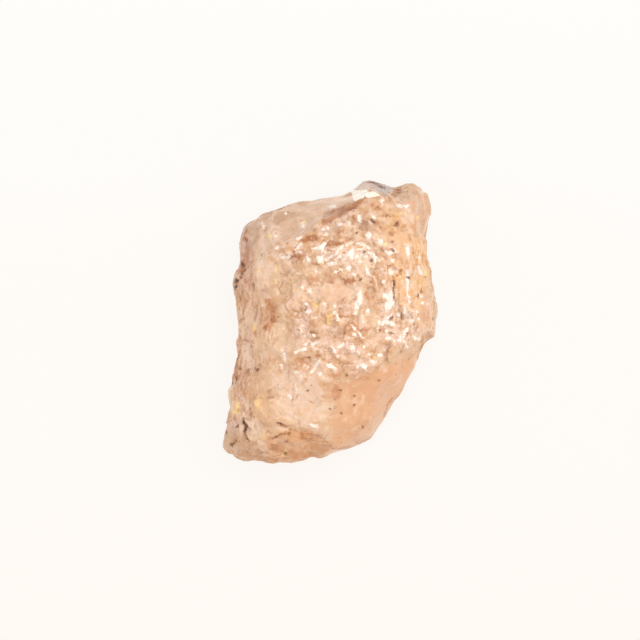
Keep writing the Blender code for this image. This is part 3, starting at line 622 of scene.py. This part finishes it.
def masks(points, normals, spots, rough, smooth):
    """How much of each wash is at each point, and how deep the point is inside each kind of mark."""
    wobble = 0.35 * noisy(points, 1.8 * MM, 21) + 0.2 * noisy(points, 0.6 * MM, 22)
    up = normals[:, 2]
    upper = ramp(up, -0.35, 0.1)
    found = {}
    for name, rows in ZONES.items():
        found[name] = np.maximum.reduce([soft_zone(spots, wobble, *row) for row in rows]) * upper
    for name, (size, seed, low, high, strength) in UNDER_CLOUDS.items():
        cloud = strength * ramp(noisy(points, size, seed), low, high) * (1.0 - upper)
        found[name] = np.maximum(found[name], cloud)
    milky = ramp(above_ridge(spots) + 3.0 * wobble, -2.0, 5.0)
    milky *= fade(spots[:, 0], RIDGE_X[-1] - 8.0, RIDGE_X[-1]) * upper
    found["milk"] = np.maximum(found["milk"], 0.9 * milky)
    tan = np.where(upper > 0.5, ramp(depths(spots, TAN) + 3.0 * wobble, -1.5, 3.5), 0.0)
    found["tan"] = np.maximum(found["tan"], tan)
    found["peach"] = smooth * upper
    # Steep sides, where the rim wash is painted light: an orange glow that stands in for light coming
    # through the stone
    found["rim"] = fade(up, 0.05, 0.35) * ramp(up, -0.5, -0.1)
    for name, marks in MARKS.items():
        found[name] = np.where(up > -0.15, depths(spots, marks), -DEPTH_LIMIT)

    # The smooth break has no veils, and brown and calm faces have no shards
    found["veil"] -= 3.0 * found["peach"]
    found["shards"] *= 0.1 + 0.9 * rough
    found["shards"] *= fade(found["brown"], -0.5, 1.5) * fade(found["calm"], -1.0, 2.0)
    return found


def break_up(points, normals):
    """The points moved to the broken surface, and the values that the material reads at each."""
    spots = picture(points)
    sway = SWAY * noisy(points, SWAY_SIZE, 4)
    smooth = smooth_break(spots, sway)
    rough = roughness_map(normals, spots, sway, smooth)
    found = masks(points, normals, spots, rough, smooth)
    height, found["tone"] = relief(points, normals, spots, rough)
    ragged = 1.6 * noisy(points, 0.26 * MM, 41)
    resting = ramp(points[:, 2], 0.05 * MM, 0.8 * MM)
    points = points + normals * (height * resting)[:, None]
    points = press_flecks(points, normals, spots, ragged)
    pit = ramp(found["dark"] + 0.4 * ragged, -0.4, 1.4)
    points = points - normals * (PIT_DEPTH * pit * resting)[:, None]
    return np.clip(points, np.array(CAD_LOW), np.array(CAD_HIGH)), found


def vectors(items, name):
    """The places or normals of a mesh as an array."""
    flat = np.empty(len(items) * 3, np.float32)
    items.foreach_get(name, flat)
    return flat.reshape(-1, 3).astype(float)


def apply_modifiers(thing):
    """Replace a thing's mesh by what its modifiers make of it."""
    graph = bpy.context.evaluated_depsgraph_get()
    mesh = bpy.data.meshes.new_from_object(thing.evaluated_get(graph))
    thing.modifiers.clear()
    thing.data = mesh
    mesh.name = thing.name


def fine_copy(solid, settings):
    """A copy of the solid in small even faces, with its facets rubbed off."""
    skin = bpy.data.objects.new("broken_skin", solid.data.copy())
    bpy.context.scene.collection.objects.link(skin)
    skin.data.materials.clear()
    remesh = skin.modifiers.new("Small even faces", 'REMESH')
    remesh.mode = 'VOXEL'
    remesh.voxel_size = settings.grain
    remesh.use_smooth_shade = True
    soften = skin.modifiers.new("Facets rubbed off", 'SMOOTH')
    soften.factor = 0.5
    soften.iterations = settings.soften
    apply_modifiers(skin)
    return skin


def thin_out(skin, spare, keep):
    """Merge faces until the share to keep is left, only where the skin has some to spare."""
    group = skin.vertex_groups.new(name="spare")
    for index in np.flatnonzero(spare):
        group.add([int(index)], float(spare[index]), 'REPLACE')
    merge = skin.modifiers.new("Fewer faces underneath", 'DECIMATE')
    merge.ratio = min(keep, 1.0)
    merge.vertex_group = group.name
    apply_modifiers(skin)
    skin.vertex_groups.clear()


def add(tree, kind, settings=None, **links):
    """Add a node, set its properties, and link or set its inputs.

    In the name of an input, _ stands for a space, and i2 for the third one. A node that is given
    for an input stands for its first output in use.
    """
    node = tree.nodes.new('ShaderNode' + kind)
    for name, value in (settings or {}).items():
        setattr(node, name, value)
    for name, value in links.items():
        key = int(name[1:]) if name[0] == "i" and name[1:].isdigit() else name.replace("_", " ")
        if isinstance(value, bpy.types.Node):
            value = next(socket for socket in value.outputs if socket.enabled)
        if isinstance(value, bpy.types.NodeSocket):
            tree.links.new(value, node.inputs[key])
        else:
            node.inputs[key].default_value = value
    return node


COLOUR = {"data_type": 'RGBA'}
TINT_OVER = {"data_type": 'RGBA', "blend_type": 'MULTIPLY'}
SMOOTH = {"interpolation_type": 'SMOOTHSTEP'}
PLUS, MINUS, TIMES = {"operation": 'ADD'}, {"operation": 'SUBTRACT'}, {"operation": 'MULTIPLY'}

# How far the rim of a wash wanders, in steps of the picture or in its own share, by which pattern
RAGGED = {
    "lumps": ("mottle", 0.3), "wide": ("mottle", 6.0),
    "fine": ("fine", 1.2), "small": ("fine", 1.08), "slight": ("fine", 0.25),
}
# Washes of colour, first to last: attribute, ragged rim, from, to, how much, two tints
WASHES = [
    ("peach", "lumps", 0.05, 0.95, 0.9, "#E6B488", "#EBBD92"),
    ("tan", "lumps", 0.25, 0.85, 0.75, "#CC8E62", "#DBA578"),
    ("milk", "lumps", 0.05, 0.95, 0.85, "#D8BCA2", "#E8CFB8"),
    ("ochre", "lumps", 0.05, 0.95, 0.85, "#F8C785", "#FDDCA6"),
    ("mauve", "lumps", 0.05, 0.95, 0.8, "#C8967A", "#DEB298"),
    ("cream", "lumps", 0.05, 0.95, 0.85, "#FFE3C8", "#FFF1E0"),
    ("veil", "wide", -2.6, 2.4, 0.72, "#F7E0D2", "#FBE8DB"),
    # tone: painted shade and light on blocks and ledges, by how they lean and climb, over a random tone
    ("tone", "none", -0.3, -1.3, 0.42, "#BC8258", "#CC946C"),
    ("tone", "none", 0.3, 1.3, 0.65, "#FFEEE0", "#FCE6D3"),
    ("calm", "fine", -0.8, 1.0, 0.5, "#F4CFAC", "#F9DABD"),
    # brown: painted shade of faces turned away from the light, and rust stain
    ("brown", "fine", -1.4, 1.4, 0.85, "#A46634", "#C48856"),
    # pale: painted highlights on crests and the outline, and pale streaks
    ("pale", "fine", -0.9, 0.9, 0.65, "#FFEBD9", "#FAE0C8"),
    # rim: painted glow of light through the stone on steep sides, where the skin lets no light through
    ("rim", "none", 0.1, 1.0, 0.75, "#FBCFA2", "#F8C796"),
    # foot: darker orange, painted shade of the foot face
    ("foot", "wide", -3.0, 4.0, 0.4, "#DC9C60", "#ECB47E"),
    ("foot", "fine", -0.5, 1.5, 0.3, "#D0905A", "#DDA26C"),
]
# The washes of the top edge and of the small marks, over the veil of peach, the same way
TOP_WASHES = [
    ("pale_bump", "fine", -1.0, 2.0, 0.9, "#C6A690", "#D8BAA4"),
    ("grey_bump", "fine", -1.0, 3.0, 0.95, "#8E8180", "#BDAAA0"),
    # white_face: painted highlight of the lit facet at the top edge
    ("white_face", "slight", -0.5, 0.6, 0.97, "#FDF0E0", "#FFF6EA"),
    # fleck: painted highlights, a pinkish white halo and a near white core
    ("fleck", "small", -0.65, 0.45, 0.8, "#F4DFCE", "#F4DFCE"),
    ("fleck", "small", 0.1, 0.9, 1.0, "#F8F0E8", "#F8F0E8"),
    ("gold", "small", -1.2, 1.0, 0.9, "#F6CC70", "#FCE8A8"),
    ("dark", "small", -1.3, 0.0, 0.7, "#945A34", "#945A34"),
    ("dark", "small", -0.3, 0.9, 1.0, "#5E2E0C", "#96602F"),
    ("dark", "small", 0.7, 1.6, 0.9, "#2C1608", "#2C1608"),
]
# Shards, streaks of the flanks, and specks of iron and bright points, too fine for the mesh: where,
# turn in degrees, length and width in mm, fullness, how much, tint, and share of their cell
SHARDS = [
    ("shards", 50.0, 1.1, 0.5, 0.28, 0.4, "#D0956B", 0.52),
    # Thin brown shards: painted shade beside the bright ones
    ("shards", -35.0, 0.7, 0.18, 0.24, 0.5, "#B0734A", 0.52),
    # Pale shards: painted highlights of tiny faces
    ("shards", -38.0, 0.95, 0.28, 0.44, 0.9, "#FCEADC", 0.52),
    ("shards", 70.0, 0.75, 0.27, 0.36, 0.9, "#FEEEE0", 0.52),
    ("shards", 15.0, 0.45, 0.26, 0.32, 1.0, "#FFF8F0", 0.52),
    ("shards", -65.0, 0.6, 0.35, 0.28, 0.9, "#FCE8DA", 0.52),
    ("streaks", 82.0, 2.4, 0.26, 0.4, 0.5, "#C08C68", 0.5),
    ("streaks", 86.0, 2.0, 0.2, 0.4, 0.6, "#F8E0C6", 0.5),
    ("everywhere", 0.0, 0.55, 0.55, 0.22, 0.65, "#8E5A36", 0.2),
    ("everywhere", 20.0, 0.9, 0.9, 0.2, 0.75, "#6E3F20", 0.1),
    # Pale points: painted highlights
    ("everywhere", 70.0, 0.8, 0.5, 0.12, 0.7, "#FBE3C0", 0.24),
]
# The share of its light that the skin still lets through where a wash is full
SHUTS = {"fleck": 0.25, "gold": 0.4, "dark": 0.1, "white_face": 0.15, "brown": 0.4, "rim": 0.0}


def lay_wash(tree, tint, rims, spread, shares, row):
    """The tint with one wash over it; the wash's share of each point goes into shares."""
    name, rim, low, high, amount, deep, pale = row
    spot = add(tree, 'Attribute', {"attribute_name": name}).outputs["Fac"]
    worn = add(tree, 'Math', PLUS, i0=spot, i1=rims[rim])
    share = add(tree, 'MapRange', SMOOTH, Value=worn, From_Min=low, From_Max=high, To_Max=amount)
    shares.setdefault(name, share)
    own = add(tree, 'Mix', COLOUR, i0=spread, i6=linear(deep), i7=linear(pale))
    return add(tree, 'Mix', COLOUR, i0=share, i6=tint, i7=own)


def lay_shards(tree, tint, bent, full, row):
    """The tint with one kind of shard over it.

    Each cell of a stretched pattern shows where its own chance is below the fullness.
    """
    name, turn, length, wide, fullness, amount, shade, reach = row
    lay = add(tree, 'Mapping', {"vector_type": 'TEXTURE'}, Vector=bent,
              Rotation=(0.0, 0.0, math.radians(turn)), Scale=(length * MM, wide * MM, wide * 1.5 * MM))
    cell = add(tree, 'TexVoronoi', {"feature": 'F1'}, Vector=lay, Scale=1.0)
    chance = add(tree, 'SeparateColor', Color=cell.outputs["Color"])
    room = add(tree, 'Math', TIMES, i0=full[name], i1=fullness)
    over = add(tree, 'Math', MINUS, i0=room, i1=chance)
    shows = add(tree, 'MapRange', Value=over, From_Max=0.06, To_Max=amount)
    body = add(tree, 'MapRange', SMOOTH, Value=cell.outputs["Distance"],
               From_Min=reach, From_Max=0.6 * reach)
    one = add(tree, 'Math', TIMES, i0=shows, i1=body)
    return add(tree, 'Mix', COLOUR, i0=one, i6=tint, i7=linear(shade))


def stone_tint(tree, where, rims, spread, shares, skin):
    """The colour of the stone, with painted highlights and painted shade: clouds, washes, veils, shards
    and marks, one over the other.
    """
    broad = add(tree, 'TexNoise', Vector=where, Scale=1.0 / (3.0 * MM), Detail=4.0)
    share = add(tree, 'MapRange', SMOOTH, Value=broad, From_Min=0.38, From_Max=0.62)
    tint = add(tree, 'Mix', COLOUR, i0=share, i6=skin.peach_deep, i7=skin.peach)
    for row in WASHES:
        tint = lay_wash(tree, tint, rims, spread, shares, row)

    # Pinkish white veils between the shards
    full = {"everywhere": 1.0}
    for name in ("shards", "streaks"):
        full[name] = add(tree, 'Attribute', {"attribute_name": name}).outputs["Fac"]
    veil = add(tree, 'TexNoise', Vector=where, Scale=1.0 / (0.6 * MM), Detail=2.0, Distortion=0.8)
    over = add(tree, 'Math', {"operation": 'MULTIPLY_ADD'}, i0=full["shards"], i1=0.4, i2=veil)
    share = add(tree, 'MapRange', SMOOTH, Value=over, From_Min=0.7, From_Max=0.94, To_Max=0.75)
    tint = add(tree, 'Mix', COLOUR, i0=share, i6=tint, i7=linear("#F9E3D6"))

    # Shards, streaks and specks, with bent edges
    warp = add(tree, 'TexNoise', Vector=where, Scale=1.0 / (0.3 * MM), Detail=2.0)
    bend = add(tree, 'VectorMath', {"operation": 'SCALE'}, Vector=warp.outputs["Color"], Scale=0.25 * MM)
    bent = add(tree, 'VectorMath', PLUS, i0=where, i1=bend)
    for row in SHARDS:
        tint = lay_shards(tree, tint, bent, full, row)

    tint = add(tree, 'Mix', TINT_OVER, i0=1.0, i6=tint, i7=skin.veil_of_peach)
    for row in TOP_WASHES:
        tint = lay_wash(tree, tint, rims, spread, shares, row)
    return tint


def broken_morganite(skin):
    """Morganite, conchoidally broken: pale peach beryl, glassy on each small face, cloudy inside."""
    material = bpy.data.materials.new("morganite conchoidally broken")
    material.use_nodes = True
    tree = material.node_tree
    tree.nodes.clear()
    where = add(tree, 'TexCoord').outputs["Object"]

    # Each wash is mottled in lumps of 0.7 mm, and its rim is ragged by those or by finer ones
    sources = {
        "mottle": add(tree, 'TexNoise', Vector=where, Scale=1.0 / (0.7 * MM), Detail=2.0),
        "fine": add(tree, 'TexNoise', Vector=where, Scale=1.0 / (0.2 * MM), Detail=1.0),
    }
    spread = add(tree, 'MapRange', SMOOTH, Value=sources["mottle"], From_Min=0.36, From_Max=0.64)
    rims = {"none": 0.0}
    for name, (source, reach) in RAGGED.items():
        rims[name] = add(tree, 'MapRange', Value=sources[source],
                         From_Min=0.25, From_Max=0.75, To_Min=-reach, To_Max=reach)
    shares = {}
    tint = stone_tint(tree, where, rims, spread, shares, skin)

    # A bright face or a stain lets less light through
    clear = skin.clearness
    for name, left in SHUTS.items():
        share = add(tree, 'MapRange', Value=shares[name], To_Min=1.0, To_Max=left)
        clear = add(tree, 'Math', TIMES, i0=clear, i1=share)

    # Growth ripples and hackles too fine for the mesh, a quarter of a millimetre apart
    ripple = add(tree, 'TexNoise', Vector=where, Scale=1.0 / (0.25 * MM), Detail=3.0)
    bump = add(tree, 'Bump', Strength=0.2, Distance=0.02 * MM, Height=ripple)
    gloss = add(tree, 'MapRange', Value=spread, To_Min=0.13, To_Max=0.28)
    shader = add(tree, 'BsdfPrincipled', {"subsurface_method": 'RANDOM_WALK'},
                 Base_Color=tint, Roughness=gloss, IOR=1.58, Normal=bump,
                 Transmission_Weight=clear, Subsurface_Weight=0.25,
                 Subsurface_Radius=(1.0, 0.75, 0.6), Subsurface_Scale=0.3 * MM)
    inside = add(tree, 'VolumeAbsorption', Color=linear("#F7D0A4"), Density=skin.depth_of_colour)
    add(tree, 'OutputMaterial', Surface=shader, Volume=inside)
    return material


def pale_table(studio):
    """Opal acrylic, matt: an even pale sheet lit from below, so shadows are faint."""
    material = bpy.data.materials.new("opal acrylic matt")
    material.use_nodes = True
    tree = material.node_tree
    tree.nodes.clear()
    where = add(tree, 'TexCoord').outputs["Object"]
    y = add(tree, 'SeparateXYZ', Vector=where).outputs[1]
    share = add(tree, 'MapRange', Value=y, From_Min=-TABLE_FADE, From_Max=TABLE_FADE)
    tone = add(tree, 'Mix', COLOUR, i0=share, i6=studio.table_near, i7=studio.table_far)
    dull = add(tree, 'Mix', TINT_OVER, i0=1.0, i6=tone, i7=(TABLE_DULL, TABLE_DULL, TABLE_DULL, 1.0))
    shader = add(tree, 'BsdfPrincipled', Base_Color=dull, Roughness=0.6,
                 Specular_IOR_Level=0.0, Emission_Color=tone, Emission_Strength=studio.table_glow)
    add(tree, 'OutputMaterial', Surface=shader)
    material.cycles.emission_sampling = 'NONE'
    return material


def add_table(scene, settings):
    """The table under the stone, wide enough to fill the picture from any side."""
    mesh = bpy.data.meshes.new("table")
    body = bmesh.new()
    bmesh.ops.create_grid(body, x_segments=8, y_segments=8, size=TABLE_HALF_SIZE)
    body.to_mesh(mesh)
    body.free()
    table = bpy.data.objects.new("table", mesh)
    table.location.z = TABLE_RISE
    scene.collection.objects.link(table)
    mesh.materials.append(pale_table(settings))


def add_lamp(scene, name, off, bearing, reach, size, power, shape):
    """One lamp that shines at the stone; off is its angle to the vertical, in degrees."""
    lamp = bpy.data.lights.new(name, 'AREA')
    lamp.shape = shape
    lamp.size = size
    lamp.energy = power
    lamp.color = linear("#FFF9F2")[:3]
    thing = bpy.data.objects.new(name, lamp)
    tilt, turn = math.radians(off), math.radians(bearing)
    way = Vector((math.sin(tilt) * math.cos(turn), math.sin(tilt) * math.sin(turn), math.cos(tilt)))
    thing.location = way * reach
    thing.rotation_euler = way.to_track_quat('Z', 'Y').to_euler()
    thing.visible_transmission = False
    scene.collection.objects.link(thing)


def add_camera(scene, height):
    """The camera, which looks straight down at the scale of the picture."""
    camera = bpy.data.cameras.new("camera")
    camera.sensor_width = SENSOR_WIDTH
    camera.lens = SENSOR_WIDTH * (height - BELT) / (PICTURE_SIZE * PIXEL)
    camera.clip_end = 20.0
    thing = bpy.data.objects.new("camera", camera)
    thing.location = (*place(PICTURE_SIZE / 2.0, PICTURE_SIZE / 2.0), height)
    scene.collection.objects.link(thing)
    scene.camera = thing


def colour(name, description, default):
    """A colour among the settings."""
    return FloatVectorProperty(
        name=name, description=description, subtype='COLOR', size=4, min=0.0, max=1.0, default=default)


class CrystalSkin(bpy.types.PropertyGroup):
    grain: FloatProperty(
        name="Grain", description="Side of the small faces that the skin is made of",
        default=0.115 * MM, min=0.08 * MM, max=0.5 * MM, subtype='DISTANCE', unit='LENGTH')
    most_faces: IntProperty(
        name="Most faces", description="Triangles that the skin may have",
        default=196000, min=20000, max=1000000)
    soften: IntProperty(
        name="Soften", description="How many times the solid's facets are smoothed",
        default=6, min=0, max=20)
    peach: colour("Peach", "Body colour", linear("#F0D8B8"))
    peach_deep: colour("Deep peach", "Deeper body colour", linear("#E2BC94"))
    veil_of_peach: colour(
        "Veil of peach", "Tint that deepens every colour of the stone but its bright faces",
        (0.87, 0.775, 0.715, 1.0))
    clearness: FloatProperty(
        name="Clearness", description="Share of light that passes through the skin",
        default=0.3, min=0.0, max=1.0, subtype='FACTOR')
    depth_of_colour: FloatProperty(
        name="Depth of colour", description="Absorption inside the stone, per metre",
        default=90.0, min=0.0, max=1000.0)


class CrystalStudio(bpy.types.PropertyGroup):
    table_near: colour("Table near", "Table colour below the stone", linear("#FFFAF5"))
    table_far: colour("Table far", "Table colour above the stone", linear("#FFFEFC"))
    table_glow: FloatProperty(
        name="Table glow", description="Light the table gives of itself", default=0.895, min=0.0, max=2.0)
    sky: FloatProperty(
        name="Room light", description="Strength of the even room light", default=0.95, min=0.0, max=4.0)
    lamp_power: FloatProperty(
        name="Lamp power", description="Power of each small lamp near the camera",
        default=0.2, min=0.0, max=100.0, unit='POWER')
    softbox_power: FloatProperty(
        name="Softbox power", description="Power of the broad lamp beside the stone",
        default=1.3, min=0.0, max=100.0, unit='POWER')
    camera_height: FloatProperty(
        name="Camera height", description="Height of the camera above the table",
        default=1.0, min=0.1, max=3.0, subtype='DISTANCE', unit='LENGTH')


class CRYSTAL_OT_skin(bpy.types.Operator):
    """Grow the finely broken skin over the solid crystal"""
    bl_idname = "crystal.skin"
    bl_label = "Grow the skin"

    def execute(self, context):
        settings = context.scene.crystal_skin
        skin = fine_copy(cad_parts[NODE], settings)
        mesh = skin.data
        normals = vectors(mesh.vertex_normals, "vector")
        points, found = break_up(vectors(mesh.vertices, "co"), normals)
        mesh.vertices.foreach_set("co", points.astype(np.float32).ravel())
        for name, values in found.items():
            layer = mesh.attributes.new(name, 'FLOAT', 'POINT')
            layer.data.foreach_set("value", np.asarray(values, np.float32))
        mesh.update()
        # The remeshed skin is all quads, of two triangles each, and it can spare some underneath
        facing_down = ramp(-normals[:, 2], 0.0, 0.3)
        thin_out(skin, facing_down, settings.most_faces / (2.0 * len(mesh.polygons)))
        mesh = skin.data
        if not mesh.polygons:
            raise RuntimeError("the skin came out empty")
        mesh.shade_smooth()
        mesh.materials.clear()
        mesh.materials.append(broken_morganite(settings))
        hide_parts(NODE)
        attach(skin, "root")
        return {'FINISHED'}


class CRYSTAL_OT_studio(bpy.types.Operator):
    """Set the pale table, the lamps and the camera that looks down on the stone"""
    bl_idname = "crystal.studio"
    bl_label = "Set the studio"

    def execute(self, context):
        settings = context.scene.crystal_studio
        scene = context.scene
        add_table(scene, settings)
        for off, bearing, share in LAMPS:
            power = settings.lamp_power * share
            add_lamp(scene, "lamp", off, bearing, LAMP_REACH, LAMP_SIZE, power, 'DISK')
        power = settings.softbox_power
        add_lamp(scene, "softbox", *SOFTBOX, SOFTBOX_REACH, SOFTBOX_SIZE, power, 'SQUARE')
        world = bpy.data.worlds.new("room")
        world.use_nodes = True
        light = world.node_tree.nodes["Background"].inputs
        light["Color"].default_value = linear("#FFFBF6")
        light["Strength"].default_value = settings.sky
        scene.world = world
        add_camera(scene, settings.camera_height)
        scene.view_settings.view_transform = 'Standard'
        scene.view_settings.look = 'None'
        return {'FINISHED'}


class CRYSTAL_PT_panel(bpy.types.Panel):
    """Lists the steps that dress the crystal"""
    bl_idname = "CRYSTAL_PT_panel"
    bl_label = "Crystal"
    bl_space_type = 'VIEW_3D'
    bl_region_type = 'UI'
    bl_category = "Crystal"

    def draw(self, context):
        column = self.layout.column()
        for step in STEPS:
            column.operator(step.bl_idname)
        for group in (context.scene.crystal_skin, context.scene.crystal_studio):
            for name in group.__annotations__:
                column.prop(group, name)


STEPS = (CRYSTAL_OT_skin, CRYSTAL_OT_studio)
CLASSES = (CrystalSkin, CrystalStudio) + STEPS + (CRYSTAL_PT_panel,)


def register():
    for item in CLASSES:
        bpy.utils.register_class(item)
    bpy.types.Scene.crystal_skin = PointerProperty(type=CrystalSkin)
    bpy.types.Scene.crystal_studio = PointerProperty(type=CrystalStudio)


def unregister():
    del bpy.types.Scene.crystal_studio
    del bpy.types.Scene.crystal_skin
    for item in reversed(CLASSES):
        bpy.utils.unregister_class(item)


def main():
    register()
    bpy.ops.crystal.skin()
    bpy.ops.crystal.studio()


if __name__ == "__main__":
    main()
